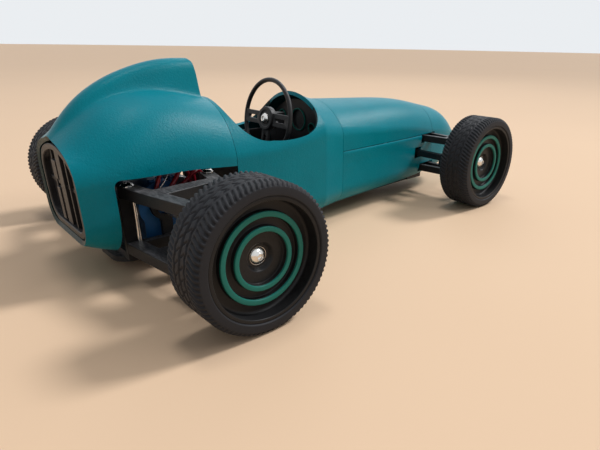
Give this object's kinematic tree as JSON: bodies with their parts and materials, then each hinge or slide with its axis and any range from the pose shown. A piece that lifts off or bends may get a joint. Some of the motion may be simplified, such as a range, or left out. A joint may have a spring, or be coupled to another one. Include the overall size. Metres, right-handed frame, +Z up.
{
  "type": "open wheel racing car model",
  "caption": "Radio-controlled open wheel racing car with a printed single-seat body, headrest hump, open cockpit, steered front wheels and four free-rolling wheels.",
  "frame": {"origin": "on the ground under the middle of the car, half way between tail and nose tip and on the centre plane", "axes": "+X forward, +Y to the driver's left, +Z up"},
  "size_m": [0.3265, 0.234, 0.1056],
  "materials": {
    "body_print": "satin printed plastic, teal green",
    "black_print": "satin printed plastic, black",
    "rim_print": "satin printed plastic, black",
    "ring_print": "satin printed plastic, teal green",
    "tyre": "matt black flexible print",
    "screw_steel": "bright plated steel",
    "rod_steel": "drawn steel rod",
    "blue_case": "blue moulded plastic",
    "battery_wrap": "shrink wrapped",
    "red_lead": "silicone insulation"
  },
  "bodies": {
    "chassis": {"rear_cowl": "body_print", "tail_panel": "black_print", "cockpit_section": "body_print", "bonnet": "body_print", "front_lower_body": "body_print", "nose_cap": "body_print", "nose_grille": "black_print", "floor_plate": "black_print", "rear_frame": "black_print", "gear_case": "blue_case", "rear_arm_screws": "screw_steel", "front_frame": "black_print", "cockpit_tub": "black_print", "dashboard": "black_print", "gauge_rings": "ring_print", "steering_wheel": "black_print", "steering_wheel_cap": "screw_steel", "steering_column": "black_print", "battery": "battery_wrap", "speed_controller": "blue_case", "motor_wires": "red_lead", "rear_upper_arm_left": "black_print", "rear_lower_arm_left": "black_print", "rear_upright_left": "black_print", "front_upper_arm_left": "black_print", "front_lower_arm_left": "black_print", "kingpin_left": "rod_steel", "rear_upper_arm_right": "black_print", "rear_lower_arm_right": "black_print", "rear_upright_right": "black_print", "front_upper_arm_right": "black_print", "front_lower_arm_right": "black_print", "kingpin_right": "rod_steel"},
    "track_rod": {"track_rod": "rod_steel"},
    "steering_left": {"front_knuckle_left": "black_print", "front_hub_screw_left": "screw_steel"},
    "front_wheel_left": {"front_tyre_left": "tyre", "front_rim_left": "rim_print", "front_rings_left": "ring_print"},
    "rear_wheel_left": {"rear_tyre_left": "tyre", "rear_rim_left": "rim_print", "rear_rings_left": "ring_print", "rear_hub_screw_left": "screw_steel", "rear_shaft_left": "rod_steel"},
    "steering_right": {"front_knuckle_right": "black_print", "front_hub_screw_right": "screw_steel"},
    "front_wheel_right": {"front_tyre_right": "tyre", "front_rim_right": "rim_print", "front_rings_right": "ring_print"},
    "rear_wheel_right": {"rear_tyre_right": "tyre", "rear_rim_right": "rim_print", "rear_rings_right": "ring_print", "rear_hub_screw_right": "screw_steel", "rear_shaft_right": "rod_steel"}
  },
  "joints": [
    {"name": "steer_left", "type": "hinge", "parent": "chassis", "child": "steering_left", "pos_m": [0.10825, 0.052, 0.033], "axis": [0, 0, 1], "range_deg": [-25, 25]},
    {"name": "steer_right", "type": "hinge", "parent": "chassis", "child": "steering_right", "pos_m": [0.10825, -0.052, 0.033], "axis": [0, 0, 1], "range_deg": [-25, 25]},
    {"name": "track_rod_slide", "type": "slide", "parent": "chassis", "child": "track_rod", "axis": [0, 1, 0], "range_m": [-0.0066, 0.0066]},
    {"name": "front_wheel_left_spin", "type": "hinge", "parent": "steering_left", "child": "front_wheel_left", "pos_m": [0.10825, 0.07175, 0.033], "axis": [0, 1, 0], "continuous": true},
    {"name": "rear_wheel_left_spin", "type": "hinge", "parent": "chassis", "child": "rear_wheel_left", "pos_m": [-0.11525, 0.10525, 0.033], "axis": [0, 1, 0], "continuous": true},
    {"name": "front_wheel_right_spin", "type": "hinge", "parent": "steering_right", "child": "front_wheel_right", "pos_m": [0.10825, -0.07175, 0.033], "axis": [0, 1, 0], "continuous": true},
    {"name": "rear_wheel_right_spin", "type": "hinge", "parent": "chassis", "child": "rear_wheel_right", "pos_m": [-0.11525, -0.10525, 0.033], "axis": [0, 1, 0], "continuous": true}
  ],
  "couplings": [
    {"joint": "steer_right", "follows": "steer_left", "ratio": 1},
    {"joint": "track_rod_slide", "follows": "steer_left", "m_per_rad": -0.014962}
  ]
}
